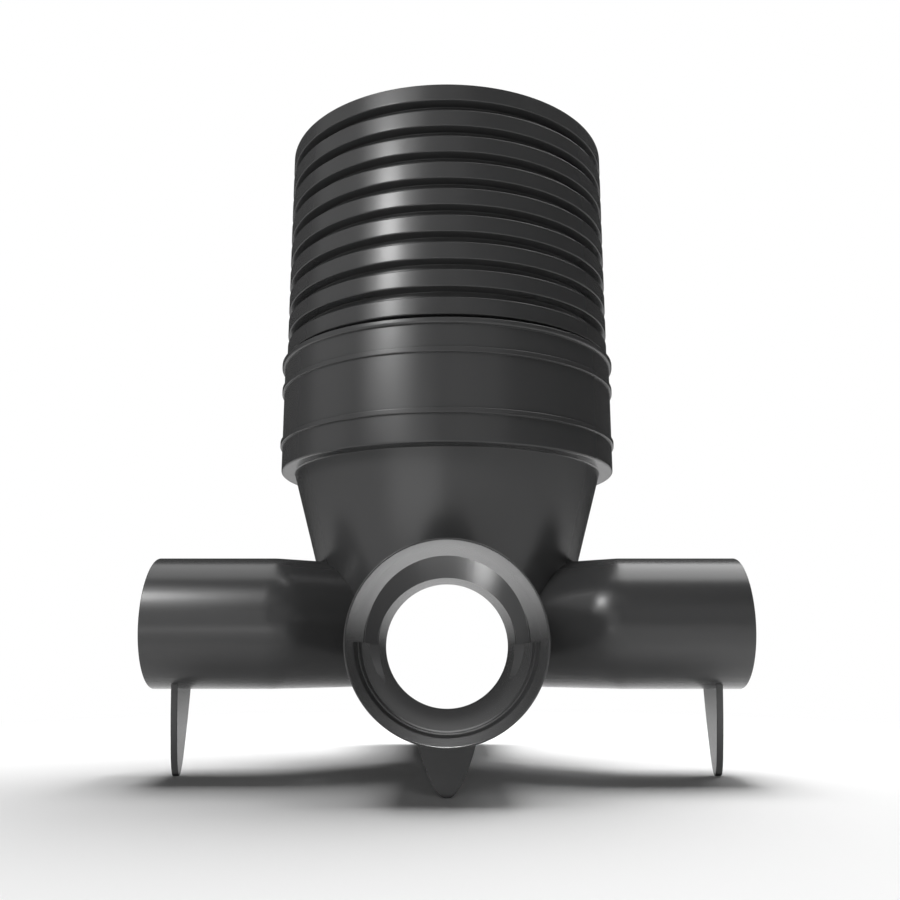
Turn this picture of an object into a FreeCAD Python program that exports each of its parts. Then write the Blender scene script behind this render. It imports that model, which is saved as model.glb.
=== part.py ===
import FreeCAD, Part
import math
import os

# Drain inspection chamber, in millimetres. The origin is on the ground under the riser's axis,
# +Z is up, the main run lies along Y and the side inlets leave along X.

# Riser pipe, ribbed outside and smooth inside, with its ribs counted from the bottom
riser_outer_d = 425.0
rib_pitch = 33.6
rib_width = 20.6
rib_depth = 14.0
flank_draft = 1.2
rib_count = 13
riser_wall = 3.4
riser_tail = 11.0

# Collar that takes the riser
collar_clearance = 0.35
collar_wall = 2.0
collar_depth = 139.7
ledge_wall = 4.0
rim_height = 7.0
rim_projection = 3.7
hoop_height = 6.5
hoop_projection = 2.6
hoop_heights = (36.4, 106.7)

# Seal in a valley of the riser
seal_valley = 3
seal_clearance = 0.3

# Cone between the collar and the run
ledge_width = 17.15
cone_draw_in = 57.4
cone_height = 214.0
cone_wall = 4.0
bench_wall = 4.0

# Main run, straight through along Y
run_outer_d = 200.0
run_wall = 4.3
run_half_length = 294.0
ground_clearance = 47.5
inlet_lip = 1.9
inlet_taper = 40.0

# Half-pipe channel in the lower half of the run, behind a stepped stop
stop_depth = 3.1
stop_half_length = 224.0
stop_length = 22.0
channel_step = 2.1
channel_lip = 1.5
trough_half_length = 122.0

# Side inlets, one each way along X, turned towards the outlet inside
side_outer_d = 150.0
side_wall = 4.0
side_end_x = 338.0
side_axis_y = -98.4
side_rise = 23.3
side_turn = 38.0
side_turn_x = 203.0

# Fin feet under the four pipe ends
foot_inset = 31.0
foot_thickness = 7.5
foot_top_half_width = 29.5

# Worked out from the sizes above
riser_r = riser_outer_d / 2
valley_r = riser_r - rib_depth
collar_bore_r = riser_r + collar_clearance
collar_r = collar_bore_r + collar_wall
run_r = run_outer_d / 2
run_bore_r = run_r - run_wall
stop_r = run_bore_r - stop_depth
channel_r = stop_r - channel_step
channel_half_length = stop_half_length - stop_length
side_r = side_outer_d / 2
side_bore_r = side_r - side_wall
run_z = ground_clearance + run_r
side_z = run_z + side_rise
collar_z = run_z + cone_height
seat_z = collar_z + ledge_wall
rim_z = seat_z + collar_depth
riser_length = riser_tail + (rib_count - 1) * rib_pitch + rib_width
cone_top_r = collar_r - ledge_width
cone_run_r = cone_top_r - cone_draw_in
bench_z = run_z - bench_wall
bench_r = cone_run_r - bench_wall * (cone_top_r - cone_run_r) / cone_height

UP = FreeCAD.Vector(0, 0, 1)
ALONG_X = FreeCAD.Vector(1, 0, 0)
ALONG_Y = FreeCAD.Vector(0, 1, 0)
ORIGIN = FreeCAD.Vector(0, 0, 0)
run_inlet = FreeCAD.Vector(0, -run_half_length, run_z)
side_mouth = FreeCAD.Vector(side_end_x, side_axis_y, side_z)
side_corner = FreeCAD.Vector(side_turn_x, side_axis_y, side_z)


def spin(points, height=0):
    """Turns a closed section of (radius, height) points about the Z axis."""
    corners = [FreeCAD.Vector(r, 0, z + height) for r, z in points]
    return Part.Face(Part.makePolygon(corners + corners[:1])).revolve(ORIGIN, UP, 360)


def run_cylinder(radius, start, end):
    """A cylinder on the run's axis from y = start to y = end."""
    return Part.makeCylinder(radius, end - start, FreeCAD.Vector(0, start, run_z), ALONG_Y)


def half_turn(points, degrees):
    """Turns a closed section of (radius, y) points half round the run's axis, from the +X side."""
    corners = [FreeCAD.Vector(r, y, run_z) for r, y in points]
    return Part.Face(Part.makePolygon(corners + corners[:1])).revolve(UP * run_z, ALONG_Y, degrees)


def both_sides(shape, across):
    """A shape and its mirror image across the shaft's axis."""
    return [shape, shape.mirror(ORIGIN, across)]


# Riser pipe and its seal
def make_riser():
    """The pipe is cut along a valley at its lower end and along a flank at its upper end."""
    section = [(valley_r - riser_wall, 0), (valley_r, 0)]
    for i in range(rib_count):
        low = riser_tail + i * rib_pitch
        high = low + rib_width
        section += [
            (valley_r, low - flank_draft),
            (riser_r, low),
            (riser_r, high),
            (valley_r, high + flank_draft),
        ]
    section[-1] = (valley_r - riser_wall, riser_length)
    return spin(section, seat_z)


def make_seal():
    """A rubber ring that fills a valley of the riser and reaches the collar's bore."""
    low = riser_tail + (seal_valley - 1) * rib_pitch + rib_width + flank_draft + seal_clearance
    high = riser_tail + seal_valley * rib_pitch - flank_draft - seal_clearance
    inner = valley_r + seal_clearance
    outer = collar_bore_r - seal_clearance
    return spin([(inner, low), (outer, low), (outer, high), (inner, high)], seat_z)


# Collar and cone
def band_section(low, height, projection):
    """The corners of a band that stands out round the collar, from its lower edge up."""
    return [
        (collar_r, low),
        (collar_r + projection, low),
        (collar_r + projection, low + height),
        (collar_r, low + height),
    ]


def body_outside():
    section = [(0, bench_z), (bench_r, bench_z), (cone_top_r, collar_z), (collar_r, collar_z)]
    for height in hoop_heights:
        section += band_section(collar_z + height - hoop_height / 2, hoop_height, hoop_projection)
    section += band_section(rim_z - rim_height, rim_height, rim_projection)
    section[-1] = (0, rim_z)
    return spin(section)


def body_inside():
    section = [
        (0, run_z),
        (cone_run_r - cone_wall, run_z),
        (cone_top_r - cone_wall, seat_z),
        (collar_bore_r, seat_z),
        (collar_bore_r, rim_z),
        (0, rim_z),
    ]
    return spin(section)


# Main run and its channel
def run_outside():
    """Two spigots of the full diameter, joined under the bench by a trough one wall outside the channel."""
    spigot = run_cylinder(run_r, trough_half_length, run_half_length)
    trough = run_cylinder(channel_r + run_wall, -run_half_length / 2, run_half_length / 2)
    return both_sides(spigot, ALONG_Y) + [trough]


def channel_inside():
    """The lower half of the run's inside: the channel, its lips and the stops before them."""
    section = [
        (0, -stop_half_length),
        (stop_r, -stop_half_length),
        (stop_r, -channel_half_length),
        (channel_r + channel_lip, -channel_half_length),
        (channel_r, channel_lip - channel_half_length),
        (channel_r, channel_half_length - channel_lip),
        (channel_r + channel_lip, channel_half_length),
        (stop_r, channel_half_length),
        (stop_r, stop_half_length),
        (0, stop_half_length),
    ]
    return half_turn(section, 180)


def crown_inside():
    """The upper half of the run's inside, the bore carried on between the stops."""
    section = [
        (0, -stop_half_length),
        (run_bore_r, -stop_half_length),
        (run_bore_r, stop_half_length),
        (0, stop_half_length),
    ]
    return half_turn(section, -180)


def run_inside():
    bore = run_cylinder(run_bore_r, stop_half_length, run_half_length)
    return both_sides(bore, ALONG_Y) + [crown_inside(), channel_inside()]


def inlet_taper_cut():
    """The taper that thins the run's wall towards its inlet."""
    return Part.makeCone(run_r - inlet_lip, run_bore_r, inlet_taper, run_inlet, ALONG_Y)


# Side inlets
def side_bar(radius):
    """A round bar along the +X inlet's axis: straight in, a ball elbow, then straight to the shaft's axis."""
    turn = math.radians(side_turn)
    inward = FreeCAD.Vector(-math.cos(turn), math.sin(turn), 0)
    mouth_bar = Part.makeCylinder(radius, side_end_x - side_turn_x, side_corner, ALONG_X)
    inner_bar = Part.makeCylinder(radius, side_turn_x / math.cos(turn), side_corner, inward)
    rim = Part.Arc(side_corner + UP * radius, side_corner - ALONG_Y * radius, side_corner - UP * radius).toShape()
    chord = Part.LineSegment(side_corner - UP * radius, side_corner + UP * radius).toShape()
    elbow = Part.Face(Part.Wire([rim, chord])).revolve(side_corner, UP, -side_turn)
    return mouth_bar.fuse([inner_bar, elbow])


# Feet
def fin(pipe_bottom, pipe_r):
    """A tongue across X under a pipe, its outline a parabola that touches the ground."""
    top = pipe_bottom + pipe_r - math.sqrt(pipe_r ** 2 - foot_top_half_width ** 2) + run_wall / 2
    left = FreeCAD.Vector(0, -foot_top_half_width, top)
    right = FreeCAD.Vector(0, foot_top_half_width, top)
    left_flank = Part.BezierCurve()
    left_flank.setPoles([left, ALONG_Y * (-foot_top_half_width / 2), ORIGIN])
    right_flank = Part.BezierCurve()
    right_flank.setPoles([ORIGIN, ALONG_Y * (foot_top_half_width / 2), right])
    edges = [left_flank.toShape(), right_flank.toShape(), Part.LineSegment(right, left).toShape()]
    plate = Part.Face(Part.Wire(edges)).extrude(ALONG_X * foot_thickness)
    plate.translate(ALONG_X * (-foot_thickness / 2))
    return plate


def make_feet():
    side_foot = fin(side_z - side_r, side_r)
    side_foot.translate(FreeCAD.Vector(side_end_x - foot_inset, side_axis_y, 0))
    run_foot = fin(ground_clearance, run_r)
    run_foot.rotate(ORIGIN, UP, 90)
    run_foot.translate(ALONG_Y * (run_half_length - foot_inset))
    return both_sides(side_foot, ALONG_X) + both_sides(run_foot, ALONG_Y)


def make_base():
    """One moulding: everything outside fused together, less everything inside."""
    outside = body_outside().fuse(run_outside() + both_sides(side_bar(side_r), ALONG_X) + make_feet())
    inside = [body_inside(), inlet_taper_cut()] + run_inside() + both_sides(side_bar(side_bore_r), ALONG_X)
    return outside.cut(inside).removeSplitter()


os.makedirs("parts", exist_ok=True)
for node, shape in {
    "chamber_base": make_base(),
    "riser_pipe": make_riser(),
    "riser_seal": make_seal(),
}.items():
    print(node, "solids", len(shape.Solids), "valid", shape.isValid(), "volume", round(shape.Volume), shape.BoundBox)
    shape.exportStep(f"parts/{node}.step")
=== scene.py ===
import math
import bmesh
import bpy
from mathutils import Matrix, Vector


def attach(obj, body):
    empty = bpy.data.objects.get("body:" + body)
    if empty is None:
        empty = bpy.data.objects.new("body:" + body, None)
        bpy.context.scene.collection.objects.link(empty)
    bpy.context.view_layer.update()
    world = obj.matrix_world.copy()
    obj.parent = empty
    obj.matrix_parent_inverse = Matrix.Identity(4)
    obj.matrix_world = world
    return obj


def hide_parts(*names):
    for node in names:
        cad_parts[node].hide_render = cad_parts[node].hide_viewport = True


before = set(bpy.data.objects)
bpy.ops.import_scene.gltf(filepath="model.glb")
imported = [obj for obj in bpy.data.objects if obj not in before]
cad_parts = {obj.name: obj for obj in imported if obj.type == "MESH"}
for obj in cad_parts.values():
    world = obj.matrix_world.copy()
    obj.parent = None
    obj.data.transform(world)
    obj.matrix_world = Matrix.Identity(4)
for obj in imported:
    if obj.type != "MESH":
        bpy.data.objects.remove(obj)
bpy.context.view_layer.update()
scene = bpy.context.scene
mm = 0.001
cutPast = 1  # mm that a cutting solid reaches past the face it cuts
finish = {
    "arcStep": 20,  # degrees of a fillet for each of its facets
    "support": 0.3,  # mm from a fillet to the point that keeps the surface beside it flat
    "steps": 240,  # facets round a turned piece
    "sharpAngle": 28,  # degrees past which an edge is not smoothed over
    "weld": 0.00001,  # metres within which two points are one
}


# Sections and turned solids

def rounded(corners):
    # (r, z, fillet) corners become points, with an arc at each fillet and a support point beside it
    points = []
    for i, (r, z, fillet) in enumerate(corners):
        here = Vector((r, z))
        if fillet == 0:
            points.append(here)
            continue
        back = (Vector(corners[i - 1][:2]) - here).normalized()
        on = (Vector(corners[(i + 1) % len(corners)][:2]) - here).normalized()
        half = back.angle(on) / 2
        reach = fillet / math.tan(half)
        centre = here + (back + on).normalized() * (fillet / math.sin(half))
        first, last = here + back * reach - centre, here + on * reach - centre
        steps = max(2, math.ceil((math.pi - 2 * half) / math.radians(finish["arcStep"])))
        points.append(here + back * (reach + finish["support"]))
        for k in range(steps + 1):
            points.append(centre + first.slerp(last, k / steps).normalized() * fillet)
        points.append(here + on * (reach + finish["support"]))
    return points


def newObject(name, bm):
    mesh = bpy.data.meshes.new(name)
    bm.to_mesh(mesh)
    bm.free()
    piece = bpy.data.objects.new(name, mesh)
    scene.collection.objects.link(piece)
    return piece


def turned(name, section, steps=finish["steps"], closed=True, place=None):
    # turns a section of (radius, height) points about Z, in millimetres
    bm = bmesh.new()
    rings = []
    for r, z in section:
        if r < 1e-6:
            rings.append([bm.verts.new((0, 0, z * mm))])
            continue
        ring = []
        for k in range(steps):
            a = 2 * math.pi * k / steps
            ring.append(bm.verts.new((r * mm * math.cos(a), r * mm * math.sin(a), z * mm)))
        rings.append(ring)
    pairs = list(zip(rings, rings[1:]))
    if closed:
        pairs.append((rings[-1], rings[0]))
    for low, high in pairs:
        for k in range(steps):
            n = (k + 1) % steps
            corners = []
            for v in (low[k % len(low)], low[n % len(low)], high[n % len(high)], high[k % len(high)]):
                if v not in corners:
                    corners.append(v)
            if len(corners) > 2:
                bm.faces.new(corners)
    bmesh.ops.recalc_face_normals(bm, faces=bm.faces)
    if place is not None:
        bmesh.ops.transform(bm, matrix=place, verts=bm.verts)
    return newObject(name, bm)


def skinned(name, rows):
    # skins rows of points in millimetres, each row closed round, with flat ends
    bm = bmesh.new()
    rings = [[bm.verts.new(spot * mm) for spot in row] for row in rows]
    for low, high in zip(rings, rings[1:]):
        for k in range(len(low)):
            n = (k + 1) % len(low)
            bm.faces.new((low[k], low[n], high[n], high[k]))
    bm.faces.new(rings[0])
    bm.faces.new(rings[-1])
    bmesh.ops.remove_doubles(bm, verts=bm.verts, dist=finish["weld"] / 10)
    bmesh.ops.recalc_face_normals(bm, faces=bm.faces)
    return newObject(name, bm)


def mirrored(piece, across):
    copy = bpy.data.objects.new(piece.name + "Mirror", piece.data.copy())
    scene.collection.objects.link(copy)
    copy.data.transform(Matrix.Scale(-1, 4, across))
    copy.data.flip_normals()  # the mirroring turned the faces inside out
    return copy


def applied(piece):
    # the piece with its modifiers worked out, as a plain mesh
    graph = bpy.context.evaluated_depsgraph_get()
    mesh = bpy.data.meshes.new_from_object(piece.evaluated_get(graph), depsgraph=graph)
    piece.modifiers.clear()
    old = piece.data
    piece.data = mesh
    bpy.data.meshes.remove(old)
    return piece


def combined(piece, others, operation):
    for other in others:
        step = piece.modifiers.new(operation, "BOOLEAN")
        step.operation = operation
        step.solver = "MANIFOLD"
        step.object = other
    applied(piece)
    for other in others:
        bpy.data.objects.remove(other)
    return piece


def smoothed(piece):
    piece.data.shade_smooth()
    piece.data.set_sharp_from_angle(angle=math.radians(finish["sharpAngle"]))
    return piece


# Shader maths

class Wire:
    def __init__(self, tree, socket):
        self.tree, self.socket = tree, socket

    def maths(self, operation, other, swap=False):
        inputs = [self, other]
        if swap:
            inputs.reverse()
        return Shader(self.tree).add("ShaderNodeMath", {"operation": operation}, dict(enumerate(inputs)))

    def __add__(self, other):
        return self.maths("ADD", other)

    def __radd__(self, other):
        return self.maths("ADD", other, True)

    def __sub__(self, other):
        return self.maths("SUBTRACT", other)

    def __rsub__(self, other):
        return self.maths("SUBTRACT", other, True)

    def __mul__(self, other):
        return self.maths("MULTIPLY", other)

    def __rmul__(self, other):
        return self.maths("MULTIPLY", other, True)


class Shader:
    def __init__(self, tree):
        self.tree = tree

    def add(self, kind, settings=None, inputs=None, output=0):
        node = self.tree.nodes.new(kind)
        for name, value in (settings or {}).items():
            setattr(node, name, value)
        for name, value in (inputs or {}).items():
            if isinstance(value, Wire):
                self.tree.links.new(value.socket, node.inputs[name])
            else:
                node.inputs[name].default_value = value
        return Wire(self.tree, node.outputs[output]) if node.outputs else None


def emptyShader(owner):
    # a material or world with its nodes cleared, ready for new ones
    owner.use_nodes = True
    owner.node_tree.nodes.clear()
    return Shader(owner.node_tree)


plasticLook = {
    "baseColor": (0.047, 0.047, 0.0475, 1),
    "riserColor": (0.042, 0.042, 0.0425, 1),
    "roughness": 0.27,
    "roughnessSpread": 0.012,
    "cloudScale": 14,
    "cloudDetail": 3,
    "grainScale": 900,
    "grainDetail": 2,
    "grainHeight": 0.00002,
    "grainStrength": 0.3,
}


def satinPlastic(name, color):
    look = plasticLook
    material = bpy.data.materials.new(name)
    shader = emptyShader(material)
    place = shader.add("ShaderNodeTexCoord", output="Object")
    cloudy = shader.add("ShaderNodeTexNoise", {}, {
        "Vector": place, "Scale": look["cloudScale"], "Detail": look["cloudDetail"]})
    grain = shader.add("ShaderNodeTexNoise", {}, {
        "Vector": place, "Scale": look["grainScale"], "Detail": look["grainDetail"]})
    rough = look["roughness"] + (cloudy - 0.5) * look["roughnessSpread"]
    bump = shader.add("ShaderNodeBump", {}, {
        "Height": grain, "Distance": look["grainHeight"], "Strength": look["grainStrength"]})
    skin = shader.add("ShaderNodeBsdfPrincipled", {}, {
        "Base Color": color, "Roughness": rough, "Normal": bump})
    shader.add("ShaderNodeOutputMaterial", {}, {"Surface": skin})
    return material


basePlastic = satinPlastic("Satin black base plastic", plasticLook["baseColor"])
riserPlastic = satinPlastic("Satin black riser plastic", plasticLook["riserColor"])
print("materials made")


# Riser, its ribs repeated up the pipe, with the sizes of this and all pieces in millimetres

riser = {
    "crestRadius": 212.5, "valleyRadius": 198.5, "boreRadius": 195.1,
    "bottom": 365.5, "tail": 11.0, "pitch": 33.6, "ribWidth": 20.6, "flankDraft": 1.2, "ribs": 13,
    "crestFillet": 1.5, "valleyFillet": 1.2, "topFillet": 0.8, "bottomFillet": 0.5,
    "valleyShare": 1.4,  # the valley's strip that each repeated rib brings along below it
    "steps": 216,
}


def ribTree():
    tree = bpy.data.node_groups.new("Repeated ribs", "GeometryNodeTree")
    face = tree.interface
    face.new_socket("Rib", in_out="INPUT", socket_type="NodeSocketGeometry")
    face.new_socket("Count", in_out="INPUT", socket_type="NodeSocketInt")
    face.new_socket("Pitch", in_out="INPUT", socket_type="NodeSocketFloat")
    face.new_socket("Material", in_out="INPUT", socket_type="NodeSocketMaterial")
    face.new_socket("Ribs", in_out="OUTPUT", socket_type="NodeSocketGeometry")
    nodes, links = tree.nodes, tree.links
    start = nodes.new("NodeGroupInput")
    up = nodes.new("ShaderNodeCombineXYZ")
    row = nodes.new("GeometryNodeMeshLine")
    put = nodes.new("GeometryNodeInstanceOnPoints")
    real = nodes.new("GeometryNodeRealizeInstances")
    weld = nodes.new("GeometryNodeMergeByDistance")
    paint = nodes.new("GeometryNodeSetMaterial")
    end = nodes.new("NodeGroupOutput")
    weld.inputs["Distance"].default_value = finish["weld"]
    links.new(start.outputs["Pitch"], up.inputs["Z"])
    links.new(start.outputs["Count"], row.inputs["Count"])
    links.new(up.outputs[0], row.inputs["Offset"])
    links.new(row.outputs[0], put.inputs["Points"])
    links.new(start.outputs["Rib"], put.inputs["Instance"])
    links.new(put.outputs[0], real.inputs[0])
    links.new(real.outputs[0], weld.inputs[0])
    links.new(weld.outputs[0], paint.inputs[0])
    links.new(start.outputs["Material"], paint.inputs["Material"])
    links.new(paint.outputs[0], end.inputs[0])
    return tree


def setInputs(modifier, values):
    for item in modifier.node_group.interface.items_tree:
        if item.item_type == "SOCKET" and item.in_out == "INPUT" and item.name in values:
            modifier[item.identifier] = values[item.name]


def makeRiser(r):
    low = r["bottom"] + r["tail"]
    high = low + r["ribWidth"]
    crest, valley, bore = r["crestRadius"], r["valleyRadius"], r["boreRadius"]
    draft, share = r["flankDraft"], r["valleyShare"]
    corners = [
        (valley, low - draft - share, 0), (valley, low - draft, r["valleyFillet"]),
        (crest, low, r["crestFillet"]), (crest, high, r["crestFillet"]),
        (valley, high + draft, r["valleyFillet"]), (valley, low - draft - share + r["pitch"], 0),
    ]
    ribs = turned("riserPipe", rounded(corners), r["steps"], closed=False)
    repeat = ribs.modifiers.new("Ribs", "NODES")
    repeat.node_group = ribTree()
    setInputs(repeat, {"Count": r["ribs"] - 1, "Pitch": r["pitch"] * mm, "Material": riserPlastic})
    applied(ribs)
    # the tail, the bore and the topmost rib close the pipe
    lastLow = low + (r["ribs"] - 1) * r["pitch"]
    top = lastLow + r["ribWidth"]
    rest = [
        (valley, lastLow - draft - share, 0), (valley, lastLow - draft, r["valleyFillet"]),
        (crest, lastLow, r["crestFillet"]), (crest, top, r["topFillet"]), (bore, top, r["topFillet"]),
        (bore, r["bottom"], r["bottomFillet"]), (valley, r["bottom"], r["bottomFillet"]),
        (valley, low - draft - share, 0),
    ]
    ends = turned("riserEnds", rounded(rest), r["steps"], closed=False)
    bm = bmesh.new()
    bm.from_mesh(ribs.data)
    bm.from_mesh(ends.data)
    bmesh.ops.remove_doubles(bm, verts=bm.verts, dist=finish["weld"])
    bmesh.ops.recalc_face_normals(bm, faces=bm.faces)
    bm.to_mesh(ribs.data)
    bm.free()
    bpy.data.objects.remove(ends)
    ribs.data.materials.clear()
    ribs.data.materials.append(riserPlastic)
    ribs.data.polygons.foreach_set("material_index", [0] * len(ribs.data.polygons))
    return smoothed(ribs)


riserPipe = makeRiser(riser)
print("riser", len(riserPipe.data.polygons))


# Base: collar and cone, run and channel, side inlets and feet

body = {
    "collarRadius": 214.85, "collarBore": 212.85, "rimTop": 505.2, "rimHeight": 7.0, "rimRadius": 218.55,
    "hoopHeights": (397.9, 468.2), "hoopHalf": 3.25, "hoopRadius": 217.45,
    "ledgeHeight": 361.5, "seat": 365.5, "coneTopRadius": 197.7, "coneRunRadius": 140.3, "coneWall": 4.0,
    "benchTop": 147.5, "benchBottom": 143.5, "benchRadius": 139.23,
    "coneTopFillet": 1.5, "ledgeFillet": 2.6, "hoopFootFillet": 0.4, "hoopFillet": 1.0,
    "rimFootFillet": 0.5, "rimUnderFillet": 2.8, "rimTopFillet": 1.0,
}
run = {
    "height": 147.5, "radius": 100.0, "bore": 95.7, "half": 294.0, "inletBore": 98.1, "taper": 40.0,
    "stopRadius": 92.6, "stop": 224.0, "channelRadius": 90.5, "channel": 202.0, "lip": 1.5,
    "troughRadius": 94.8, "troughHalf": 147.0, "spigotFrom": 122.0, "mouthFillet": 0.9,
    # the inlet's rounded inner edge, each point as (wider than the inlet's bore, behind its face)
    "innerEdge": ((0.8, 0), (0.2, 0.25), (-0.05, 0.8), (-0.07, 1.1)),
}
side = {
    "height": 170.8, "axis": -98.4, "radius": 75.0, "bore": 71.0, "end": 338.0,
    "turn": 38.0, "turnAt": 203.0, "steps": 192, "elbowSteps": 10,
    # the mouth's outer edge, each point as (behind its face, narrower than the pipe)
    "outerEdge": ((0, 0.5), (0.15, 0.15), (0.5, 0), (1, 0)),
}
feet = {
    "inset": 31.0, "thickness": 7.5, "topHalf": 29.5, "overlap": 2.15,
    "outlineSteps": 24, "bevel": 0.6, "bevelSteps": 2,
}
alongY = Matrix.Translation((0, 0, run["height"] * mm)) @ Matrix.Rotation(math.radians(-90), 4, "X")


def bodyOutside(b):
    collar, rimBottom = b["collarRadius"], b["rimTop"] - b["rimHeight"]
    corners = [
        (0, b["benchBottom"], 0), (b["benchRadius"], b["benchBottom"], 0),
        (b["coneTopRadius"], b["ledgeHeight"], b["coneTopFillet"]),
        (collar, b["ledgeHeight"], b["ledgeFillet"]),
    ]
    for z in b["hoopHeights"]:
        low, high = z - b["hoopHalf"], z + b["hoopHalf"]
        corners += [
            (collar, low, b["hoopFootFillet"]), (b["hoopRadius"], low, b["hoopFillet"]),
            (b["hoopRadius"], high, b["hoopFillet"]), (collar, high, b["hoopFootFillet"]),
        ]
    corners += [
        (collar, rimBottom, b["rimFootFillet"]), (b["rimRadius"], rimBottom, b["rimUnderFillet"]),
        (b["rimRadius"], b["rimTop"], b["rimTopFillet"]), (0, b["rimTop"], 0),
    ]
    return turned("chamberBase", rounded(corners))


def bodyInside(b):
    top = b["rimTop"] + cutPast
    corners = [
        (0, b["benchTop"], 0), (b["coneRunRadius"] - b["coneWall"], b["benchTop"], 0),
        (b["coneTopRadius"] - b["coneWall"], b["seat"], 0), (b["collarBore"], b["seat"], 0),
        (b["collarBore"], top, 0), (0, top, 0),
    ]
    return turned("bodyInside", rounded(corners))


def runSolid(name, corners):
    return turned(name, rounded(corners), place=alongY)


def runCrown(r):
    # the upper half of the bore between the stops, cut off flat at the run's axis
    reach = r["stop"] + cutPast
    crown = runSolid("crown", [(0, -reach, 0), (r["bore"], -reach, 0), (r["bore"], reach, 0), (0, reach, 0)])
    bm = bmesh.new()
    bm.from_mesh(crown.data)
    everything = bm.verts[:] + bm.edges[:] + bm.faces[:]
    bmesh.ops.bisect_plane(bm, geom=everything, plane_co=(0, 0, r["height"] * mm),
                           plane_no=(0, 0, 1), clear_inner=True)
    bmesh.ops.holes_fill(bm, edges=[edge for edge in bm.edges if edge.is_boundary])
    bmesh.ops.recalc_face_normals(bm, faces=bm.faces)
    bm.to_mesh(crown.data)
    bm.free()
    return crown


def runCutters(r):
    bore, channel, lip, stop = r["bore"], r["channelRadius"], r["lip"], r["stopRadius"]
    half, stopEnd, channelEnd = r["half"], r["stop"] + cutPast, r["channel"]
    trough = runSolid("trough", [
        (0, -stopEnd, 0), (stop, -stopEnd, 0), (stop, -channelEnd, 0),
        (channel + lip, -channelEnd, 0), (channel, lip - channelEnd, 0),
        (channel, channelEnd - lip, 0), (channel + lip, channelEnd, 0),
        (stop, channelEnd, 0), (stop, stopEnd, 0), (0, stopEnd, 0)])
    outlet = runSolid("outlet", [
        (0, r["stop"], 0), (bore, r["stop"], 0), (bore, half + cutPast, 0), (0, half + cutPast, 0)])
    innerEdge = [(r["inletBore"] + wider, behind - half, 0) for wider, behind in r["innerEdge"]]
    inlet = runSolid("inlet", [
        (0, -half - cutPast, 0), (innerEdge[0][0], -half - cutPast, 0), *innerEdge,
        (bore, r["taper"] - half, 0), (bore, -r["stop"], 0), (0, -r["stop"], 0)])
    return [runCrown(r), trough, outlet, inlet]


def inletBar(name, s, radius, mouth):
    # a bar along the +X inlet's axis: straight in from its mouth, a ball elbow, then straight on
    corner = Vector((s["turnAt"], s["axis"], s["height"]))
    turn = math.radians(s["turn"])
    inward = Vector((-math.cos(turn), math.sin(turn), 0))
    mitre = Vector((math.sin(turn / 2), math.cos(turn / 2), 0)) / math.cos(turn / 2)
    around = [2 * math.pi * k / s["steps"] for k in range(s["steps"])]

    def ring(centre, across, r):
        return [centre + across * (r * math.cos(t)) + Vector((0, 0, r * math.sin(t))) for t in around]

    def square(a):
        # the level direction square to the axis once it has turned by a
        return Vector((math.sin(a), math.cos(a), 0))

    rows = [ring(corner + Vector((s["end"] + x - s["turnAt"], 0, 0)), square(0), r) for x, r in mouth]
    inner = ring(corner, mitre, radius)
    for k in range(s["elbowSteps"] + 1):
        outer = ring(corner, square(turn * k / s["elbowSteps"]), radius)
        rows.append([i if math.cos(t) > 0 else o for i, o, t in zip(inner, outer, around)])
    rows.append(ring(corner + inward * (s["turnAt"] / math.cos(turn)), square(turn), radius))
    return skinned(name, rows)


def finEdges(bm):
    # the edges between a flat face, which has many corners, and the narrow four-sided rim
    edges = []
    for edge in bm.edges:
        corners = sorted(len(face.verts) for face in edge.link_faces)
        if len(corners) == 2 and corners[0] == 4 and corners[1] > 4:
            edges.append(edge)
    return edges


def fin(f, pipeBottom, pipeRadius):
    # a tongue across X, its outline a parabola that touches the ground
    half, steps = f["topHalf"], f["outlineSteps"]
    top = pipeBottom + pipeRadius - math.sqrt(pipeRadius ** 2 - half ** 2) + f["overlap"]
    outline = [(half * k / steps, top * (k / steps) ** 2) for k in range(-steps, steps + 1)]
    bm = bmesh.new()
    back = [bm.verts.new((-f["thickness"] / 2 * mm, y * mm, z * mm)) for y, z in outline]
    front = [bm.verts.new((f["thickness"] / 2 * mm, y * mm, z * mm)) for y, z in outline]
    bm.faces.new(back)
    bm.faces.new(front)
    for k in range(len(outline)):
        n = (k + 1) % len(outline)
        bm.faces.new((back[k], back[n], front[n], front[k]))
    bmesh.ops.recalc_face_normals(bm, faces=bm.faces)
    bmesh.ops.bevel(bm, geom=finEdges(bm), offset=f["bevel"] * mm, segments=f["bevelSteps"], affect="EDGES")
    return newObject("fin", bm)


def makeFeet(f):
    sideFoot = fin(f, side["height"] - side["radius"], side["radius"])
    sidePlace = Vector((side["end"] - f["inset"], side["axis"], 0))
    sideFoot.data.transform(Matrix.Translation(sidePlace * mm))
    runFoot = fin(f, run["height"] - run["radius"], run["radius"])
    runPlace = Vector((0, run["half"] - f["inset"], 0))
    runFoot.data.transform(Matrix.Translation(runPlace * mm) @ Matrix.Rotation(math.radians(90), 4, "Z"))
    return sideFoot, runFoot


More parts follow.
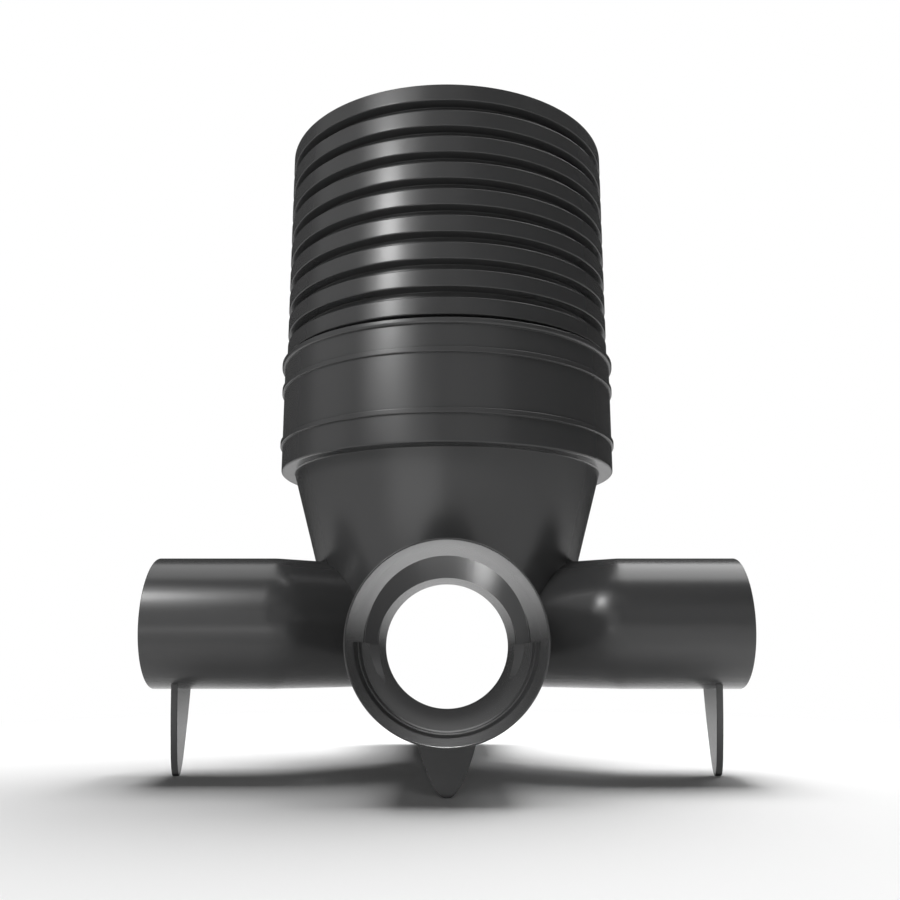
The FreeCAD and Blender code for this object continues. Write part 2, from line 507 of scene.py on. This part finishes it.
def makeBase():
    # everything outside joined together, less everything inside
    acrossX, acrossY = Vector((1, 0, 0)), Vector((0, 1, 0))
    base = bodyOutside(body)
    spigot = runSolid("spigot", [
        (0, run["spigotFrom"], 0), (run["radius"], run["spigotFrom"], 0),
        (run["radius"], run["half"], run["mouthFillet"]), (0, run["half"], 0)])
    radius, half = run["troughRadius"], run["troughHalf"]
    trough = runSolid("troughOutside", [(0, -half, 0), (radius, -half, 0), (radius, half, 0), (0, half, 0)])
    outerEdge = [(-behind, side["radius"] - narrower) for behind, narrower in side["outerEdge"]]
    inlet = inletBar("inlet", side, side["radius"], outerEdge)
    sideFoot, runFoot = makeFeet(feet)
    outside = [trough]
    for piece, across in ((spigot, acrossY), (inlet, acrossX), (sideFoot, acrossX), (runFoot, acrossY)):
        outside += [piece, mirrored(piece, across)]
    combined(base, outside, "UNION")
    inletBore = inletBar("inletBore", side, side["bore"], [(cutPast, side["bore"])])
    inside = [bodyInside(body)] + runCutters(run) + [inletBore, mirrored(inletBore, acrossX)]
    combined(base, inside, "DIFFERENCE")
    base.data.materials.clear()
    base.data.materials.append(basePlastic)
    return smoothed(base)


chamberBase = makeBase()
print("base", len(chamberBase.data.polygons))


# Seal, hidden between the riser and the collar

seal = {
    "innerRadius": 198.8, "outerRadius": 212.55, "bottom": 465.8, "top": 475.8, "fillet": 0.8,
    "color": (0.02, 0.02, 0.02, 1), "roughness": 0.7,
}


def makeSeal(s):
    spots = ((s["innerRadius"], s["bottom"]), (s["outerRadius"], s["bottom"]),
             (s["outerRadius"], s["top"]), (s["innerRadius"], s["top"]))
    ring = turned("riserSeal", rounded([(r, z, s["fillet"]) for r, z in spots]))
    material = bpy.data.materials.new("Matte black rubber")
    material.use_nodes = True
    skin = material.node_tree.nodes["Principled BSDF"]
    skin.inputs["Base Color"].default_value = s["color"]
    skin.inputs["Roughness"].default_value = s["roughness"]
    ring.data.materials.append(material)
    return smoothed(ring)


riserSeal = makeSeal(seal)
print("seal", len(riserSeal.data.polygons))

for piece, node, slotName in (
        (riserPipe, "riser_pipe", "riser_plastic"),
        (chamberBase, "chamber_base", "base_plastic"),
        (riserSeal, "riser_seal", "seal_rubber")):
    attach(piece, "root")
    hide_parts(node)


# Floor, light and camera

floorLook = {
    "color": 0.8, "roughness": 0.7, "half": 40,
    "whiteFrom": 0.37, "whiteTo": 1.15,  # metres from the part between which the floor turns white
    "glossyShare": 0.18,  # how much of that white shows in the part's gloss
}
# In metres and degrees. The key lamps make the tall highlight, the overhead and front ones the even
# light. From "shaft" on they are small, inside the part, in place of light that finds its way in
lamps = {
    "key": {"at": (-0.842, -1.11, 1.165), "to": (-0.05, -0.2, 0.5), "size": (0.3, 0.37),
        "radiance": 19.5, "on": "part"},
    "keyHalo": {"at": (-0.84, -1.13, 1.2), "to": (-0.05, -0.2, 0.5), "size": (0.85, 1.0),
        "radiance": 2.2, "on": "part"},
    "keyLow": {"at": (-0.83, -1.11, 0.85), "to": (-0.05, -0.2, 0.4), "size": (0.35, 0.3),
        "radiance": 0.7, "on": "part"},
    "frontHigh": {"at": (-0.2, -2.4, 2.0), "to": (0, 0, 0.5), "size": (1.6, 1.0),
        "radiance": 0.35, "on": "part"},
    "overheadRight": {"at": (0.85, 0.4, 2.2), "to": (0.85, 0.4, 0), "size": (1.4, 2.0),
        "radiance": 4.0, "on": "part"},
    "overheadLeft": {"at": (-0.55, 0.38, 2.2), "to": (-0.55, 0.38, 0), "size": (1.4, 1.7),
        "radiance": 1.8, "on": "part"},
    "overFloor": {"at": (0.4, 0.53, 2.2), "to": (0.4, 0.53, 0), "size": (0.9, 1.2),
        "radiance": 17.0, "on": "floor"},
    "overFloorLeft": {"at": (-0.55, 0.5, 2.2), "to": (-0.55, 0.5, 0), "size": (0.95, 1.3),
        "radiance": 9.0, "on": "floor"},
    "overFloorRight": {"at": (1.45, 1.0, 2.2), "to": (1.45, 1.0, 0), "size": (0.95, 1.4),
        "radiance": 4.0, "on": "floor"},
    "frontFloor": {"at": (0.4, -2.6, 0.9), "to": (0, 0, 0), "size": (2.4, 1.2),
        "radiance": 1.1, "on": "floor"},
    "left": {"at": (-2.2, -0.3, 1.2), "to": (0, 0, 0.4), "size": (1.4, 1.7),
        "radiance": 0.4, "on": "part"},
    "frontRight": {"at": (0.9, -2.6, 0.9), "to": (0, 0, 0.4), "size": (1.8, 1.2),
        "radiance": 0.35, "on": "part"},
    "frontLeft": {"at": (-1.0, -2.45, 0.6), "to": (0, 0, 0.4), "size": (1.4, 1.0),
        "radiance": 0.8, "on": "part"},
    "below": {"at": (0, -0.1, 0.003), "to": (0, -0.1, 1), "size": (1.0, 0.5),
        "radiance": 0.3, "on": "part"},
    "lowLeft": {"at": (-0.42, -0.95, 0.004), "to": (-0.42, -0.95, 1), "size": (0.7, 0.5),
        "radiance": 1.5, "on": "part"},
    "shaft": {"at": (0, 0, 0.52), "to": (0, 0, 0), "size": (0.24, 0.24),
        "radiance": 3.5, "on": "part"},
    "inside": {"at": (0, -0.13, 0.47), "to": (0, 0.17, 0.26), "size": (0.22, 0.16),
        "radiance": 0.7, "on": "part"},
    "insideKey": {"at": (-0.12, -0.055, 0.443), "to": (0.049, 0.16, 0.26), "size": (0.07, 0.085),
        "radiance": 22.0, "on": "part"},
    "channel": {"at": (0, 0.1, 0.45), "to": (0, -0.19, 0.06), "size": (0.1, 0.1),
        "radiance": 4.0, "on": "part", "spread": 50},
    "lip": {"at": (0, -0.202, 0.228), "to": (0, -0.202, 0), "size": (0.09, 0.03),
        "radiance": 7.0, "on": "part"},
    "mouth": {"at": (0, -0.25, 0.215), "to": (0, -0.25, 0), "size": (0.11, 0.035),
        "radiance": 1.1, "on": "part", "spread": 40},
}
ambient = {"strength": 0.03, "background": 1.0, "glossyShare": 0.02}
view = {"at": (0, -1.21974, 0.1362), "pitch": 12.168, "sensor": 36, "lens": 37.68, "shiftX": 0.00334}


def whiteShare(shader, glossyShare):
    # 1 for the camera, also through clear pieces, and a small share for gloss
    camera = shader.add("ShaderNodeLightPath", output="Is Camera Ray")
    clear = shader.add("ShaderNodeLightPath", output="Is Transmission Ray")
    glossy = shader.add("ShaderNodeLightPath", output="Is Glossy Ray")
    return shader.add("ShaderNodeClamp", {}, {"Value": camera + clear + glossy * glossyShare})


def makeFloor(look):
    bm = bmesh.new()
    bmesh.ops.create_grid(bm, x_segments=1, y_segments=1, size=look["half"])
    floor = newObject("floor", bm)
    material = bpy.data.materials.new("Pale floor")
    shader = emptyShader(material)
    place = shader.add("ShaderNodeTexCoord", output="Object")
    reach = shader.add("ShaderNodeVectorMath", {"operation": "LENGTH"}, {0: place}, "Value")
    far = shader.add("ShaderNodeMapRange", {"interpolation_type": "SMOOTHSTEP"}, {
        "Value": reach, "From Min": look["whiteFrom"], "From Max": look["whiteTo"]})
    tone = look["color"]
    matt = shader.add("ShaderNodeBsdfPrincipled", {}, {
        "Base Color": (tone, tone, tone, 1), "Roughness": look["roughness"]})
    white = shader.add("ShaderNodeEmission", {}, {"Strength": ambient["background"]})
    share = far * whiteShare(shader, look["glossyShare"])
    mixed = shader.add("ShaderNodeMixShader", {}, {0: share, 1: matt, 2: white})
    shader.add("ShaderNodeOutputMaterial", {}, {"Surface": mixed})
    floor.data.materials.append(material)
    return floor


def makeLamps(lit):
    # each lamp lights either the part or the floor, and both cast shadows
    groups = {}
    for name, pieces in lit.items():
        groups[name] = bpy.data.collections.new(name + " lit")
        for piece in pieces:
            groups[name].objects.link(piece)
    for name, spec in lamps.items():
        lamp = bpy.data.lights.new(name, "AREA")
        lamp.shape = "RECTANGLE"
        lamp.size, lamp.size_y = spec["size"]
        lamp.energy = spec["radiance"] * math.pi * lamp.size * lamp.size_y
        lamp.spread = math.radians(spec.get("spread", 180))
        stand = bpy.data.objects.new(name, lamp)
        stand.location = spec["at"]
        aim = Vector(spec["to"]) - Vector(spec["at"])
        stand.rotation_euler = aim.to_track_quat("-Z", "Y").to_euler()
        stand.visible_camera = False
        stand.light_linking.receiver_collection = groups[spec["on"]]
        scene.collection.objects.link(stand)


def makeWorld():
    world = bpy.data.worlds.new("Studio")
    scene.world = world
    shader = emptyShader(world)
    shown = whiteShare(shader, ambient["glossyShare"])
    strength = ambient["strength"] + shown * (ambient["background"] - ambient["strength"])
    light = shader.add("ShaderNodeBackground", {}, {"Color": (1, 1, 1, 1), "Strength": strength})
    shader.add("ShaderNodeOutputWorld", {}, {"Surface": light})


def makeCamera(v):
    camera = bpy.data.cameras.new("Camera")
    camera.sensor_width = v["sensor"]
    camera.lens = v["lens"]
    camera.shift_x = v["shiftX"]
    stand = bpy.data.objects.new("Camera", camera)
    stand.location = v["at"]
    stand.rotation_euler = (math.radians(90 + v["pitch"]), 0, 0)
    scene.collection.objects.link(stand)
    scene.camera = stand


floor = makeFloor(floorLook)
makeLamps({"part": [riserPipe, chamberBase, riserSeal], "floor": [floor]})
makeWorld()
makeCamera(view)
scene.view_settings.view_transform = "Standard"
print("floor, lamps, world and camera set")
